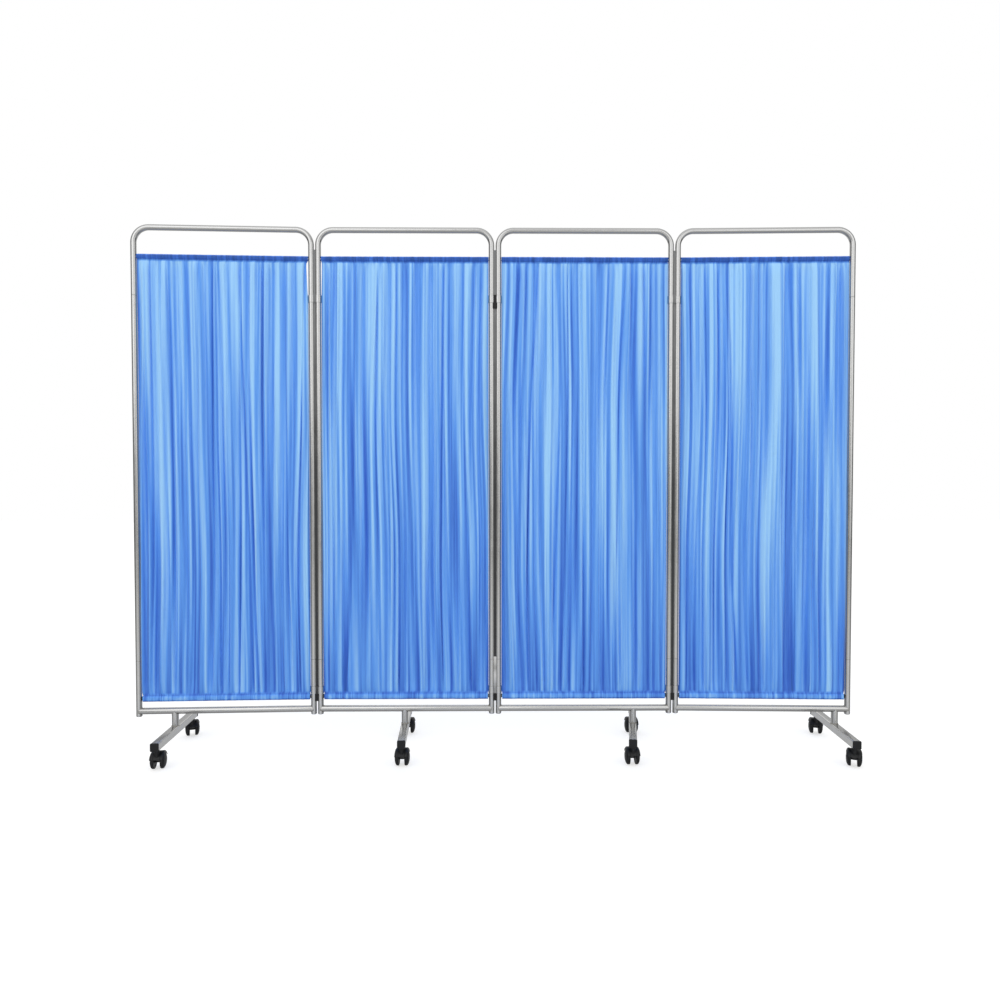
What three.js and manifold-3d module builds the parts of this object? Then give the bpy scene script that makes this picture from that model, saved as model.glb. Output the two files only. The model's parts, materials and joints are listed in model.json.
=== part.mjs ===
// A folding ward privacy screen: tube-framed panels with gathered curtains,
// joined by double-pivot hinge links and standing on T feet with swivelling twin-wheel castors.
// Lengths are in millimetres and angles in degrees. X runs along the screen, Y runs away
// from the viewer and Z is up. Panels, feet and castors are numbered from the left.

import * as THREE from 'three';
import { mergeVertices } from 'three/addons/utils/BufferGeometryUtils.js';
import Module from 'manifold-3d';

// Panel frames
const postSpacing = 576; // between the two post axes of one panel
const screenHeight = 1750; // to the top of the tube
const tubeRadius = 9.5;
const tubeWall = 1.2;
const cornerRadius = 50; // of the tube's centre line in the top corners
const upperSeamDrop = 232; // from the top down to where the top frame plugs into the side tubes
const lowerSeamRise = 168; // from the rail's axis up to where the side tubes stand on the base frame
const seamGap = 0.3;
const spigotLength = 30;
const spigotClearance = 0.3;
const postFootDrop = 17; // from the rail's axis down to the underside of the posts
const postPlugDepth = 3;
const railExtraRadius = 1.25; // by which the rail is thicker than the posts
const foldGap = 1.5; // between two rails when the screen is folded flat

// Curtains and their rods
const curtainTopDrop = 96; // from the top of the tube down to the curtain
const curtainRailGap = 20.25; // between the curtain and the rail
const pocketHeight = 18; // the sewn channel round the upper rod
const hemHeight = 23; // the sewn channel round the lower rod
const gatherHeight = 4; // over which a channel opens into folds
const channelRipple = 0.8;
const clothPostGap = 3;
const hemFerruleGap = 1;
const clothThickness = 2.4;
const channelWall = 1.3; // cloth between a rod and the outside of its channel
const foldDepth = 7.4; // of a fold to either side of the panel's plane
const foldCount = 10;
const foldWander = 5.5; // how far a fold strays along the panel
const strayWaves = 2;
const depthWaves = 3;
const rodRadius = 4;
const rodClearance = 0.3;
const rodEntry = 5; // how far a rod's end goes into its post
const ferruleFlange = 2.5; // by which a ferrule is thicker than its rod
const ferruleLength = 7;
const ferruleGap = 0.3;

// Hinge links between the panels
const linkTopDrop = 75; // from the top of the tube down to the strip
const linkRailGap = 16.25; // between the strip and the height of the rail's upper side
const linkHalfDepth = 5;
const linkClearance = 0.3;
const clipHeight = 24;
const clipWall = 1.2;
const clipFerruleGap = 3; // between the lower clips and the ferrules of the lower rods
const clipSeamRise = 7; // of the upper clips over the upper seam

// Feet
const barSize = 25;
const barCornerRadius = 3;
const barWall = 1.5;
const barHalfLength = 168;
const stemLength = 50; // from the bar's top to the rail's axis
const stemRadius = 11;
const studRadius = 4;
const studClearance = 0.3;
const saddleClearance = 0.3;
const capThickness = 5;
const capOverhang = 0.8;
const capPlugLength = 7;
const capPlugClearance = 0.7;

// Castors
const castorInset = 17; // from the end of a foot's bar to the swivel axis
const castorTrail = 17;
const wheelRadius = 25;
const wheelGap = 18; // between the two wheels of a castor
const treadWidth = 6;
const domeDepth = 9; // of a wheel's outer face, from the tread's edge to its middle
const axleRadius = 2.5;
const axleClearance = 0.3;
const axleBossWall = 3.2;
const webClearance = 0.5; // between the hood's web and a wheel
const hoodWheelGap = 2.8; // between the treads and the hood over them
const hoodWall = 2.2;
const hoodSideGap = 0.5; // between a tread's edge and the hood beside it
const skirtWall = 0.7; // added to the hood's dome outside that gap
const skirtRadius = 20; // about the axle, where the hood's sides end
const neckInset = 0.5; // of the neck from the web's sides
const neckRise = 11; // from the hood's crown to the foot's bar
const swivelGap = 0.3;
const pivotRadius = 5;
const pivotClearance = 0.3;
const pivotDepth = 18;
const socketWall = 3.2;

const overrun = 2; // how far a cutter passes the face that it cuts

// Angles, in degrees
const panelTurns = [2.3, 0, 0, -2]; // how far each panel stands out of line
const footTurns = [0.3, 2.8, -10.2, -0.5];
const frontCastorTurns = [8, -2.8, 10.2, -22.5];
const rearCastorTurns = [18.4, -2.8, 10.2, -15.5];
const hoodFrontAngle = 20; // above the horizontal through the axle
const hoodRearAngle = 142;

// Where each foot stands, as shares of the post spacing from the left post
const footShares = [0.204, 0.4915, 0.79, 0.927];

// Half of the share of a fold's depth that the shallowest folds lack
const depthVariationShare = 0.2;

// Faceting
const tubeSides = 12;
const boreSides = 8;
const bendSteps = 4;
const wheelSides = 16;
const pinSides = 8;
const clipSides = 12;
const arcSteps = 3;
const cornerSteps = 2;
const hoodSteps = 6;
const domeSteps = 2;
const pointsPerFold = 4;

const hoodRadius = wheelRadius + hoodWheelGap + hoodWall;
const barUnderside = wheelRadius + hoodRadius + neckRise;
const barTop = barUnderside + barSize;
const barMiddle = barUnderside + barSize / 2;
const railHeight = barTop + stemLength; // axis of the bottom rail
const railRadius = tubeRadius + railExtraRadius;
const upperSeamHeight = screenHeight - upperSeamDrop;
const lowerSeamHeight = railHeight + lowerSeamRise;
const postPitch = 2 * railRadius + foldGap; // between the facing post axes of two neighbours
const postBore = tubeRadius - tubeWall;
const spigotRadius = postBore - spigotClearance;
const spigotBore = spigotRadius - tubeWall;
const railBore = railRadius - tubeWall;
const halfSpacing = postSpacing / 2;
const postFace = halfSpacing - tubeRadius;
const curtainTop = screenHeight - curtainTopDrop;
const curtainBottom = railHeight + railRadius + curtainRailGap;
const upperRodHeight = curtainTop - pocketHeight / 2;
const lowerRodHeight = curtainBottom + hemHeight / 2;
const rodHole = rodRadius + rodClearance;
const ferruleRadius = rodRadius + ferruleFlange;

const sideways = new THREE.Vector3(0, 1, 0);
const radians = THREE.MathUtils.degToRad;

// The corner radius of a faceted hole whose flats still clear a round pin at every angle.
function clearHole(radius, sides) {
  return radius / Math.cos(Math.PI / sides);
}

const wasm = await Module();
wasm.setup();

const steel = { color: 0xc9cbcc, roughness: 0.18, metalness: 1 };
const cloth = { color: 0x6f9fe0, roughness: 0.85, metalness: 0 };
const blackPlastic = { color: 0x16171a, roughness: 0.45, metalness: 0 };
const darkStrip = { color: 0x3c3d3f, roughness: 0.55, metalness: 0 };

// A closed geometry as a solid that can be joined and cut.
function solidFrom(geometry) {
  const shell = geometry.clone();
  shell.deleteAttribute('normal');
  shell.deleteAttribute('uv');
  const merged = mergeVertices(shell);
  const mesh = new wasm.Mesh({
    numProp: 3,
    vertProperties: merged.getAttribute('position').array,
    triVerts: new Uint32Array(merged.index.array),
  });
  return new wasm.Manifold(mesh);
}

// A joined or cut solid as a geometry with flat faces.
function geometryFrom(solid) {
  const mesh = solid.getMesh();
  const indexed = new THREE.BufferGeometry();
  indexed.setAttribute('position', new THREE.BufferAttribute(mesh.vertProperties, mesh.numProp));
  indexed.setIndex(new THREE.BufferAttribute(mesh.triVerts, 1));
  const faceted = indexed.toNonIndexed();
  faceted.computeVertexNormals();
  return faceted;
}

function cylinderAlongZ(radius, bottom, top, sides) {
  const cylinder = new THREE.CylinderGeometry(radius, radius, top - bottom, sides);
  cylinder.rotateX(Math.PI / 2);
  cylinder.translate(0, 0, (bottom + top) / 2);
  return solidFrom(cylinder);
}

function cylinderAlongX(radius, left, right, sides) {
  const cylinder = new THREE.CylinderGeometry(radius, radius, right - left, sides);
  cylinder.rotateZ(-Math.PI / 2);
  cylinder.translate((left + right) / 2, 0, 0);
  return solidFrom(cylinder);
}

// An outline drawn in X and Y, carried straight up between two heights.
function extrudedUp(shape, bottom, top) {
  const options = { depth: top - bottom, bevelEnabled: false, curveSegments: arcSteps };
  const block = new THREE.ExtrudeGeometry(shape, options);
  block.translate(0, 0, bottom);
  return solidFrom(block);
}

// An outline drawn with X across and Y up, carried along the model's Y axis.
function extrudedBack(shape, front, back) {
  const options = { depth: back - front, bevelEnabled: false, curveSegments: cornerSteps };
  const block = new THREE.ExtrudeGeometry(shape, options);
  block.rotateX(Math.PI / 2);
  block.translate(0, back, 0);
  return solidFrom(block);
}

// Rings of points, each turning to the right about the way that they advance, skinned and capped.
function loft(rings, capOutline) {
  const count = capOutline.length;
  const positions = rings.flat().flatMap((point) => [point.x, point.y, point.z]);
  const triangles = [];
  for (let ring = 0; ring + 1 < rings.length; ring += 1) {
    for (let here = 0; here < count; here += 1) {
      const next = (here + 1) % count;
      const low = ring * count;
      const high = low + count;
      triangles.push(low + here, low + next, high + next);
      triangles.push(low + here, high + next, high + here);
    }
  }
  const last = (rings.length - 1) * count;
  for (const [a, b, c] of THREE.ShapeUtils.triangulateShape(capOutline, [])) {
    triangles.push(c, b, a);
    triangles.push(last + a, last + b, last + c);
  }
  const skin = new THREE.BufferGeometry();
  skin.setAttribute('position', new THREE.Float32BufferAttribute(positions, 3));
  skin.setIndex(triangles);
  return solidFrom(skin);
}

function circleOutline(sides) {
  const steps = Array.from({ length: sides }, (_, step) => (2 * Math.PI * step) / sides);
  return steps.map((angle) => new THREE.Vector2(Math.cos(angle), Math.sin(angle)));
}

// A round bar along stations in the X-Z plane, each with its place, direction and radius.
function roundBar(stations, sides) {
  const circle = circleOutline(sides);
  const rings = stations.map(({ place, direction, radius }) => {
    const across = sideways.clone().cross(direction);
    return circle.map((point) =>
      place
        .clone()
        .addScaledVector(across, radius * point.x)
        .addScaledVector(sideways, radius * point.y),
    );
  });
  return loft(rings, circle);
}

// The arch of a top frame: up the left leg, across and down the right leg.
function archStations(radius, legBottom, legRadii) {
  const up = new THREE.Vector3(0, 0, 1);
  const stations = [];
  for (const [height, legRadius] of legRadii) {
    stations.push({ place: new THREE.Vector3(-halfSpacing, 0, height), direction: up, radius: legRadius });
  }
  const bendHeight = screenHeight - tubeRadius - cornerRadius;
  for (let step = 0; step <= bendSteps; step += 1) {
    const angle = (Math.PI / 2) * (step / bendSteps);
    const place = new THREE.Vector3(
      -halfSpacing + cornerRadius * (1 - Math.cos(angle)),
      0,
      bendHeight + cornerRadius * Math.sin(angle),
    );
    stations.push({ place, direction: new THREE.Vector3(Math.sin(angle), 0, Math.cos(angle)), radius });
  }
  const mirrored = stations.map((station) => ({
    place: new THREE.Vector3(-station.place.x, 0, station.place.z),
    direction: new THREE.Vector3(station.direction.x, 0, -station.direction.z),
    radius: station.radius,
  }));
  return [...stations, ...mirrored.reverse()];
}

// The upper tube of a panel, bent to an arch, with a spigot under each leg and a hole for the rod.
function topFrame() {
  const arch = roundBar(archStations(tubeRadius, upperSeamHeight, [[upperSeamHeight, tubeRadius]]), tubeSides);
  const spigotEnd = upperSeamHeight - spigotLength;
  const boreStart = upperSeamHeight + tubeWall;
  const boreRadii = [
    [spigotEnd - overrun, spigotBore],
    [upperSeamHeight, spigotBore],
    [boreStart, postBore],
  ];
  const bore = roundBar(archStations(postBore, spigotEnd, boreRadii), boreSides);
  const spigot = cylinderAlongZ(spigotRadius, spigotEnd, upperSeamHeight + overrun, boreSides);
  const solid = arch
    .add(spigot.translate([-halfSpacing, 0, 0]))
    .add(spigot.translate([halfSpacing, 0, 0]))
    .subtract(bore);
  return geometryFrom(withRodHoles(solid, upperRodHeight));
}

// Holes for a rod's two ends, through the inner walls of the posts.
function withRodHoles(solid, height) {
  const reach = halfSpacing - spigotBore / 2;
  const cutter = cylinderAlongX(rodHole, -reach, reach, pinSides);
  return solid.subtract(cutter.translate([0, 0, height]));
}

// A straight tube that takes a spigot at both ends.
function sideTube() {
  const bottom = lowerSeamHeight + seamGap;
  const top = upperSeamHeight - seamGap;
  const bore = cylinderAlongZ(postBore, bottom - overrun, top + overrun, boreSides);
  return geometryFrom(cylinderAlongZ(tubeRadius, bottom, top, tubeSides).subtract(bore));
}

// The lower frame of a panel: two uprights with spigots and the rail that joins them.
function baseFrame(footPlace) {
  const spigotEnd = lowerSeamHeight + spigotLength;
  const postFootHeight = railHeight - postFootDrop;
  const upright = cylinderAlongZ(tubeRadius, postFootHeight, lowerSeamHeight, tubeSides).add(
    cylinderAlongZ(spigotRadius, lowerSeamHeight - overrun, spigotEnd, boreSides),
  );
  const boreTop = lowerSeamHeight - tubeWall;
  const uprightBore = cylinderAlongZ(postBore, postFootHeight + postPlugDepth, boreTop, boreSides).add(
    cylinderAlongZ(spigotBore, boreTop - overrun, spigotEnd + overrun, boreSides),
  );
  const rail = cylinderAlongX(railRadius, -halfSpacing, halfSpacing, tubeSides).translate([0, 0, railHeight]);
  const railHollow = cylinderAlongX(railBore, -halfSpacing + tubeRadius, halfSpacing - tubeRadius, boreSides);
  const railEnd = cylinderAlongX(postBore / 2, -halfSpacing, halfSpacing, boreSides);
  let solid = rail;
  for (const side of [-halfSpacing, halfSpacing]) {
    solid = solid.add(upright.translate([side, 0, 0]));
  }
  solid = solid.subtract(railHollow.translate([0, 0, railHeight]));
  solid = solid.subtract(railEnd.translate([0, 0, railHeight]));
  for (const side of [-halfSpacing, halfSpacing]) {
    solid = solid.subtract(uprightBore.translate([side, 0, 0]));
  }
  const studHoleRadius = clearHole(studRadius + studClearance, pinSides);
  const studHole = cylinderAlongZ(studHoleRadius, railHeight - railRadius - overrun, railHeight, pinSides);
  solid = solid.subtract(studHole.translate([footPlace, 0, 0]));
  return geometryFrom(withRodHoles(solid, lowerRodHeight));
}

// One level of a curtain, seen from above: its height, fold depth, half thickness, half width and sway.
function curtainRing(panel, [height, folds, halfThickness, halfWidth, sway]) {
  const steps = foldCount * pointsPerFold;
  const front = [];
  const back = [];
  for (let step = 0; step <= steps; step += 1) {
    const share = step / steps;
    const across = 2 * Math.PI * share;
    const phase = foldCount * across + Math.PI / pointsPerFold;
    const stray = Math.sin(across / 2) * Math.sin(strayWaves * across + panel + sway);
    const unevenness = 1 - depthVariationShare * (1 + Math.sin(depthWaves * across + panel));
    const x = halfWidth * (2 * share - 1) + foldWander * stray;
    const y = folds * unevenness * Math.sin(phase);
    front.push(new THREE.Vector3(x, y - halfThickness, height));
    back.push(new THREE.Vector3(x, y + halfThickness, height));
  }
  return [...front, ...back.reverse()];
}

// The gathered cloth of one panel, with the channels that hold its rods.
function curtain(panel) {
  const channel = rodHole + channelWall;
  const fold = clothThickness / 2;
  const wide = postFace - clothPostGap;
  const hemEnd = postFace - ferruleGap - ferruleLength - hemFerruleGap;
  const pocketBottom = curtainTop - pocketHeight;
  const hemTop = curtainBottom + hemHeight;
  const rings = [
    [curtainBottom, channelRipple, channel, hemEnd, 0],
    [hemTop, channelRipple, channel, hemEnd, 0],
    [hemTop + gatherHeight, foldDepth, fold, wide, 0],
    [pocketBottom - gatherHeight, foldDepth, fold, wide, 1],
    [pocketBottom, channelRipple, channel, wide, 1],
    [curtainTop, channelRipple, channel, wide, 1],
  ].map((level) => curtainRing(panel, level));
  const outline = rings[2].map((point) => new THREE.Vector2(point.x, point.y));
  const bore = cylinderAlongX(rodHole, -halfSpacing, halfSpacing, pinSides);
  const solid = loft(rings, outline)
    .subtract(bore.translate([0, 0, upperRodHeight]))
    .subtract(bore.translate([0, 0, lowerRodHeight]));
  return geometryFrom(solid);
}

function curtainRod() {
  const end = postFace + rodEntry;
  return cylinderAlongX(rodRadius, -end, end, pinSides);
}

// The lower rod carries a moulded ferrule against each post.
function lowerCurtainRod() {
  const outer = postFace - ferruleGap;
  const ferrule = cylinderAlongX(ferruleRadius, outer - ferruleLength, outer, pinSides);
  const mirrored = cylinderAlongX(ferruleRadius, -outer, -outer + ferruleLength, pinSides);
  return curtainRod().add(ferrule).add(mirrored);
}

// The strip that fills the gap between two posts, hollowed on both sides to their curve.
function stripShape() {
  const reach = tubeRadius + linkClearance;
  const middle = postPitch / 2;
  const spread = Math.asin(linkHalfDepth / reach);
  const hollow = reach / Math.cos(spread / arcSteps);
  const shape = new THREE.Shape();
  shape.absarc(middle, 0, hollow, Math.PI + spread, Math.PI - spread, true);
  shape.absarc(-middle, 0, hollow, spread, -spread, true);
  return shape;
}

// A clip that wraps both posts, as a figure of eight, between two heights.
function postClip(bottom, top) {
  const middle = postPitch / 2;
  const innerRadius = clearHole(tubeRadius + linkClearance, clipSides);
  const ring = cylinderAlongZ(innerRadius + clipWall, bottom, top, clipSides);
  const bore = cylinderAlongZ(innerRadius, bottom - overrun, top + overrun, clipSides);
  const wall = ring.subtract(bore);
  return wall.translate([-middle, 0, 0]).add(wall.translate([middle, 0, 0]));
}

// A hinge link: the strip and its two clips, which turn about both posts.
function hingeLink() {
  const linkBottom = railHeight + railRadius + linkRailGap;
  const lowerClipBottom = lowerRodHeight + ferruleRadius + clipFerruleGap;
  const upperClipTop = upperSeamHeight + clipSeamRise;
  const strip = extrudedUp(stripShape(), linkBottom, screenHeight - linkTopDrop);
  const lowerClip = postClip(lowerClipBottom, lowerClipBottom + clipHeight);
  const upperClip = postClip(upperClipTop - clipHeight, upperClipTop);
  return geometryFrom(strip.add(lowerClip).add(upperClip));
}

// A square outline with rounded corners, centred at the bar's height.
function roundedSquare(size, radius) {
  const half = size / 2;
  const inner = half - radius;
  const shape = new THREE.Shape();
  shape.absarc(inner, barMiddle + inner, radius, 0, Math.PI / 2);
  shape.absarc(-inner, barMiddle + inner, radius, Math.PI / 2, Math.PI);
  shape.absarc(-inner, barMiddle - inner, radius, Math.PI, 1.5 * Math.PI);
  shape.absarc(inner, barMiddle - inner, radius, 1.5 * Math.PI, 2 * Math.PI);
  return shape;
}

// A T foot: a square tube near the floor, with a stem whose saddle and stud meet the rail.
// The foot is turned about its stem, so the saddle is cut along the rail.
function foot(turn) {
  const innerSize = barSize - 2 * barWall;
  const bar = extrudedBack(roundedSquare(barSize, barCornerRadius), -barHalfLength, barHalfLength);
  const hollow = extrudedBack(
    roundedSquare(innerSize, barCornerRadius - barWall),
    -barHalfLength - overrun,
    barHalfLength + overrun,
  );
  const saddle = cylinderAlongX(
    railRadius + saddleClearance,
    -stemRadius - overrun,
    stemRadius + overrun,
    tubeSides,
  )
    .rotate([0, 0, -turn])
    .translate([0, 0, railHeight]);
  const stem = cylinderAlongZ(stemRadius, barTop - barWall / 2, railHeight, tubeSides).subtract(saddle);
  const stud = cylinderAlongZ(studRadius, railHeight - railRadius - overrun, railHeight, pinSides);
  const socketRadius = pivotRadius + pivotClearance + socketWall;
  const socket = cylinderAlongZ(socketRadius, barUnderside + barWall / 2, barTop - barWall / 2, pinSides);
  const pivotHole = cylinderAlongZ(
    clearHole(pivotRadius + pivotClearance, pinSides),
    barUnderside - overrun,
    barUnderside + pivotDepth + pivotClearance,
    pinSides,
  );
  let solid = bar.subtract(hollow).add(stem).add(stud);
  const castorOffset = barHalfLength - castorInset;
  for (const place of [-castorOffset, castorOffset]) {
    solid = solid.add(socket.translate([0, place, 0]));
    solid = solid.subtract(pivotHole.translate([0, place, 0]));
  }
  return geometryFrom(solid);
}

// A moulded cap for a bar's end, with a plug inside the tube. It is drawn for the rear end.
function endCap() {
  const flangeSize = barSize + 2 * capOverhang;
  const flangeRadius = barCornerRadius + capOverhang;
  const flangeFace = barHalfLength + seamGap;
  const plugSize = barSize - 2 * barWall - 2 * capPlugClearance;
  const flange = extrudedBack(roundedSquare(flangeSize, flangeRadius), flangeFace, flangeFace + capThickness);
  const plugFace = flangeFace - capPlugLength;
  const plugBlock = new THREE.BoxGeometry(plugSize, capPlugLength + overrun, plugSize);
  plugBlock.translate(0, plugFace + (capPlugLength + overrun) / 2, barMiddle);
  const plug = solidFrom(plugBlock);
  return geometryFrom(flange.add(plug));
}

// A dome's section, from its crown's edge to its end, as pairs of a radius and a place along the axle.
function domeSection(radius, crownEdge, depth, endRadius) {
  const end = Math.acos(endRadius / radius);
  const angles = Array.from({ length: domeSteps + 1 }, (_, step) => (end * step) / domeSteps);
  return angles.map((angle) => [radius * Math.cos(angle), crownEdge + depth * Math.sin(angle)]);
}

// A section and its mirror image, in one run from the left side over the crown to the right side.
function bothSides(section) {
  return [...section.map(([radius, along]) => [radius, -along]).reverse(), ...section];
}

// The hood's shell over both wheels: a domed section, carried about the axle from the rear to the front.
function hoodShell() {
  const innerEdge = wheelGap / 2 + treadWidth + hoodSideGap;
  const outer = bothSides(domeSection(hoodRadius, innerEdge + skirtWall, domeDepth + skirtWall, skirtRadius));
  const inner = bothSides(domeSection(hoodRadius - hoodWall, innerEdge, domeDepth, skirtRadius));
  const section = [...inner, ...outer.reverse()];
  const rings = Array.from({ length: hoodSteps + 1 }, (_, step) => {
    const angle = radians(hoodRearAngle + (hoodFrontAngle - hoodRearAngle) * (step / hoodSteps));
    return section.map(([radius, along]) => {
      const back = castorTrail - radius * Math.cos(angle);
      return new THREE.Vector3(along, back, wheelRadius + radius * Math.sin(angle));
    });
  });
  return loft(rings, section.map(([radius, along]) => new THREE.Vector2(along, radius)));
}

// The web between the wheels: a sector about the axle, filled down to the axle's hole.
function hoodWeb(halfWidth) {
  const reach = hoodRadius - hoodWall / 2;
  const rear = Math.PI - radians(hoodRearAngle);
  const front = Math.PI - radians(hoodFrontAngle);
  const points = Array.from({ length: hoodSteps + 1 }, (_, step) => {
    const angle = rear + (front - rear) * (step / hoodSteps);
    return new THREE.Vector2(castorTrail + reach * Math.cos(angle), wheelRadius + reach * Math.sin(angle));
  });
  const shape = new THREE.Shape([new THREE.Vector2(castorTrail, wheelRadius), ...points]);
  const block = new THREE.ExtrudeGeometry(shape, { depth: 2 * halfWidth, bevelEnabled: false });
  block.translate(0, 0, -halfWidth);
  block.rotateX(Math.PI / 2);
  block.rotateZ(Math.PI / 2);
  return solidFrom(block);
}

// The castor's hood: the shell over both wheels, the web between them, and the neck and pivot above.
function castorHood() {
  const webHalfWidth = wheelGap / 2 - webClearance;
  const neckRadius = webHalfWidth - neckInset;
  const neckTop = barUnderside - swivelGap;
  const neckBottom = wheelRadius + Math.sqrt(hoodRadius ** 2 - (castorTrail + neckRadius) ** 2) - hoodWall;
  const axlePlace = [0, castorTrail, wheelRadius];
  const axleHoleRadius = clearHole(axleRadius + axleClearance, pinSides);
  const bossRadius = axleHoleRadius + axleBossWall;
  const boss = cylinderAlongX(bossRadius, -webHalfWidth, webHalfWidth, pinSides).translate(axlePlace);
  const holeEnd = webHalfWidth + overrun;
  const axleHole = cylinderAlongX(axleHoleRadius, -holeEnd, holeEnd, pinSides).translate(axlePlace);
  const neck = cylinderAlongZ(neckRadius, neckBottom, neckTop, pinSides);
  const pivot = cylinderAlongZ(pivotRadius, neckBottom, barUnderside + pivotDepth, pinSides);
  return geometryFrom(hoodShell().add(hoodWeb(webHalfWidth)).add(boss).add(neck).add(pivot).subtract(axleHole));
}

// Both wheels and the axle between them, turned about X, with a flat facet on the floor.
function castorWheels() {
  const inner = wheelGap / 2;
  const dome = domeSection(wheelRadius, inner + treadWidth, domeDepth, 0);
  const section = bothSides([[axleRadius, inner], [wheelRadius, inner], ...dome]);
  const facetScale = 1 / Math.cos(Math.PI / wheelSides);
  const profile = section.map(([radius, along]) => new THREE.Vector2(radius * facetScale, along));
  const wheels = new THREE.LatheGeometry(profile, wheelSides, Math.PI / wheelSides);
  wheels.rotateZ(-Math.PI / 2);
  wheels.translate(0, castorTrail, wheelRadius);
  return geometryFrom(solidFrom(wheels));
}

function named(name, geometry, finish) {
  const mesh = new THREE.Mesh(geometry, new THREE.MeshStandardMaterial(finish));
  mesh.name = name;
  return mesh;
}

function placed(x, y, turn, children) {
  const group = new THREE.Group();
  group.position.set(x, y, 0);
  group.rotation.z = radians(turn);
  group.add(...children);
  return group;
}

function castor(number, end, turn, side) {
  const name = `castor_${number}_${end}`;
  const parts = [
    named(`${name}_hood`, castorHood(), blackPlastic),
    named(`${name}_wheels`, castorWheels(), blackPlastic),
  ];
  return placed(0, side * (barHalfLength - castorInset), turn, parts);
}

function footAssembly(index, place) {
  const number = index + 1;
  const rearCap = named(`foot_${number}_end_cap_rear`, endCap(), blackPlastic);
  const frontCap = named(`foot_${number}_end_cap_front`, endCap(), blackPlastic);
  frontCap.rotation.z = Math.PI;
  const parts = [
    named(`foot_${number}`, foot(footTurns[index]), steel),
    frontCap,
    rearCap,
    castor(number, 'front', frontCastorTurns[index], -1),
    castor(number, 'rear', rearCastorTurns[index], 1),
  ];
  return placed(place, 0, footTurns[index], parts);
}

// A whole panel, centred between its posts.
function panelParts(index) {
  const name = `panel_${index + 1}`;
  const footPlace = (footShares[index] - 0.5) * postSpacing;
  const left = named(`${name}_side_tube_left`, sideTube(), steel);
  const right = named(`${name}_side_tube_right`, sideTube(), steel);
  left.position.x = -halfSpacing;
  right.position.x = halfSpacing;
  const upperRod = named(`${name}_curtain_rod_top`, geometryFrom(curtainRod()), steel);
  const lowerRod = named(`${name}_curtain_rod_bottom`, geometryFrom(lowerCurtainRod()), steel);
  upperRod.position.z = upperRodHeight;
  lowerRod.position.z = lowerRodHeight;
  return [
    named(`${name}_top_frame`, topFrame(), steel),
    left,
    right,
    named(`${name}_base_frame`, baseFrame(footPlace), steel),
    named(`${name}_curtain`, curtain(index), cloth),
    upperRod,
    lowerRod,
    footAssembly(index, footPlace),
  ];
}

// A panel turned about the post that is nearer the middle of the screen.
function turnedPanel(index, hingeX, side) {
  const inner = placed(side * halfSpacing, 0, 0, panelParts(index));
  return placed(hingeX, 0, panelTurns[index], [inner]);
}

const firstHinge = postPitch / 2;
const panelPitch = postSpacing + postPitch;
const assembly = new THREE.Group();
assembly.add(turnedPanel(0, -firstHinge - panelPitch, -1));
assembly.add(turnedPanel(1, -firstHinge, -1));
assembly.add(turnedPanel(2, firstHinge, 1));
assembly.add(turnedPanel(3, firstHinge + panelPitch, 1));
for (const [name, place] of [['12', -panelPitch], ['23', 0], ['34', panelPitch]]) {
  assembly.add(placed(place, 0, 0, [named(`hinge_link_${name}`, hingeLink(), darkStrip)]));
}

// The origin is on the floor, at the middle of the whole screen's box.
const middle = new THREE.Box3().setFromObject(assembly, true).getCenter(new THREE.Vector3());
assembly.position.set(-middle.x, -middle.y, 0);
const screen = new THREE.Group();
screen.add(assembly);

export default screen;
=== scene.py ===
import json
import math

import bpy
import numpy as np
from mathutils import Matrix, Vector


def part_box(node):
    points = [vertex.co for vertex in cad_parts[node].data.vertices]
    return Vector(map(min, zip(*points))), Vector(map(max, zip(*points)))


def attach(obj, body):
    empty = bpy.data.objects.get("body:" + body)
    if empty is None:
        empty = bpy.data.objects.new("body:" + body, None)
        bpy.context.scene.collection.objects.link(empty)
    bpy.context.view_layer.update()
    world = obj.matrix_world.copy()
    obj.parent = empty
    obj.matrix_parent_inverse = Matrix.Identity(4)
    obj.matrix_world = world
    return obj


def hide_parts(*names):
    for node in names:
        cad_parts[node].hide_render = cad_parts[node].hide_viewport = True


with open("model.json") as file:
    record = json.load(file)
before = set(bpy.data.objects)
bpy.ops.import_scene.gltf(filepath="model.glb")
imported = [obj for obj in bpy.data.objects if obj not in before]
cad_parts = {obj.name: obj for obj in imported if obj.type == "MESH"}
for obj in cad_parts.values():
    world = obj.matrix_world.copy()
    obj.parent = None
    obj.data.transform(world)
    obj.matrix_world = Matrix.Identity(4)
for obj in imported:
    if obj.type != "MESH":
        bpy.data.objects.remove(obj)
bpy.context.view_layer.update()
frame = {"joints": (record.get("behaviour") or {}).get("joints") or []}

# Ward privacy screen on wheels: the camera and the studio, then the materials, then each kind of piece.
# Lengths are in metres. X runs along the screen, Y away from the viewer, Z up.

scene = bpy.context.scene
rightward, backward, upward = np.eye(3)

# Camera and studio

cameraSetup = {
    "place": (-0.0067, -2.4404, 0.907),
    "lens": 26.17,
    "sensor": 36.0,
    "turn": (90 - 1.47, 0, -0.55),  # degrees: it looks 1.47 down and 0.55 to the right
    "clipEnd": 60,
}
camera = bpy.data.objects.new("camera", bpy.data.cameras.new("camera"))
camera.data.lens = cameraSetup["lens"]
camera.data.sensor_width = cameraSetup["sensor"]
camera.data.clip_end = cameraSetup["clipEnd"]
camera.location = cameraSetup["place"]
camera.rotation_euler = [math.radians(angle) for angle in cameraSetup["turn"]]
scene.collection.objects.link(camera)
scene.camera = camera
scene.view_settings.view_transform = "Standard"


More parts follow.
